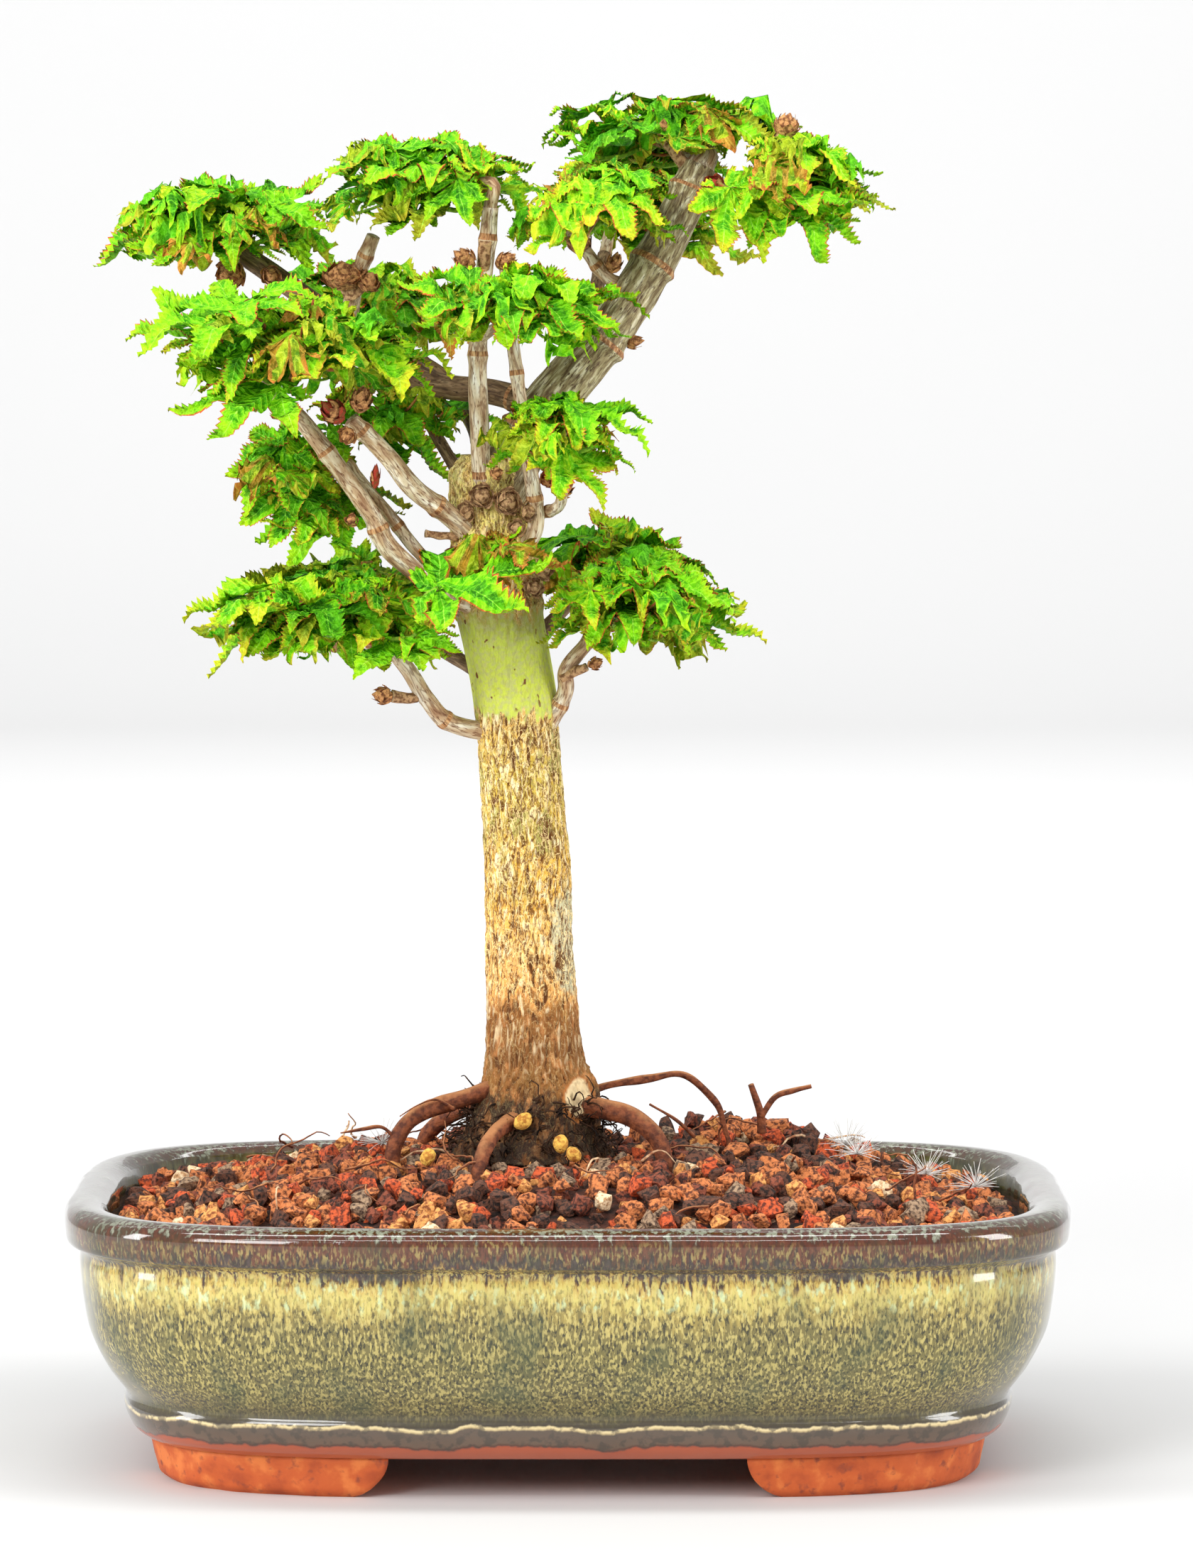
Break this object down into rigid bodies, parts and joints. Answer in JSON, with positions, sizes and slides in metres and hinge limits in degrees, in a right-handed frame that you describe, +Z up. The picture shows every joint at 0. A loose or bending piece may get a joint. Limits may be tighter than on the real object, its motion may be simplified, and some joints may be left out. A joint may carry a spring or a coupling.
{
  "type": "potted bonsai tree",
  "caption": "Upright palmate-leaved bonsai with spreading boughs and flat leaf masses, in a rounded oblong glazed pot on corner feet.",
  "frame": {"origin": "middle of the pot's footprint, at the height of the ground that its feet stand on", "axes": "+Z up, +X to the right along the pot's length in the front view, +Y to the back"},
  "size_m": [0.22, 0.164, 0.3003],
  "materials": {
    "glazed_clay": "mottled green and cream glaze",
    "bare_clay": "unglazed fired clay",
    "clay_grit": "loose fired-clay grit",
    "trunk_bark": "fibrous bark",
    "bough_bark": "young grey-brown bark",
    "maple_leaf": "matt leaf"
  },
  "bodies": {
    "root": {"pot_bowl": "glazed_clay", "pot_foot_front_left": "bare_clay", "pot_foot_back_left": "bare_clay", "pot_foot_front_right": "bare_clay", "pot_foot_back_right": "bare_clay", "soil": "clay_grit", "trunk": "trunk_bark", "bough_right": "bough_bark", "bough_centre_left": "bough_bark", "bough_centre_right": "bough_bark", "bough_left_long": "bough_bark", "bough_left_twin": "bough_bark", "bough_left_front": "bough_bark", "bough_low_left": "bough_bark", "bough_low_right": "bough_bark", "bough_front_short": "bough_bark", "bough_right_short": "bough_bark", "bough_back_short": "bough_bark", "bough_back_high": "bough_bark", "bough_back_low": "bough_bark", "bough_back_low_left": "bough_bark", "bough_back_left": "bough_bark", "bough_upper_left": "bough_bark", "bough_right_spur": "bough_bark", "bough_crown_right": "bough_bark", "bough_back_right": "bough_bark", "bough_front_spur": "bough_bark", "leaves_upper_left": "maple_leaf", "leaves_upper_centre": "maple_leaf", "leaves_upper_right": "maple_leaf", "leaves_crown_top": "maple_leaf", "leaves_crown_right": "maple_leaf", "leaves_left_front": "maple_leaf", "leaves_left_hanging": "maple_leaf", "leaves_centre_front": "maple_leaf", "leaves_centre_back": "maple_leaf", "leaves_right_short": "maple_leaf", "leaves_low_left": "maple_leaf", "leaves_trunk_front": "maple_leaf", "leaves_low_right": "maple_leaf", "leaves_back_left": "maple_leaf", "leaves_back_right": "maple_leaf", "leaves_back_low": "maple_leaf", "leaves_back_low_left": "maple_leaf"}
  },
  "joints": []
}
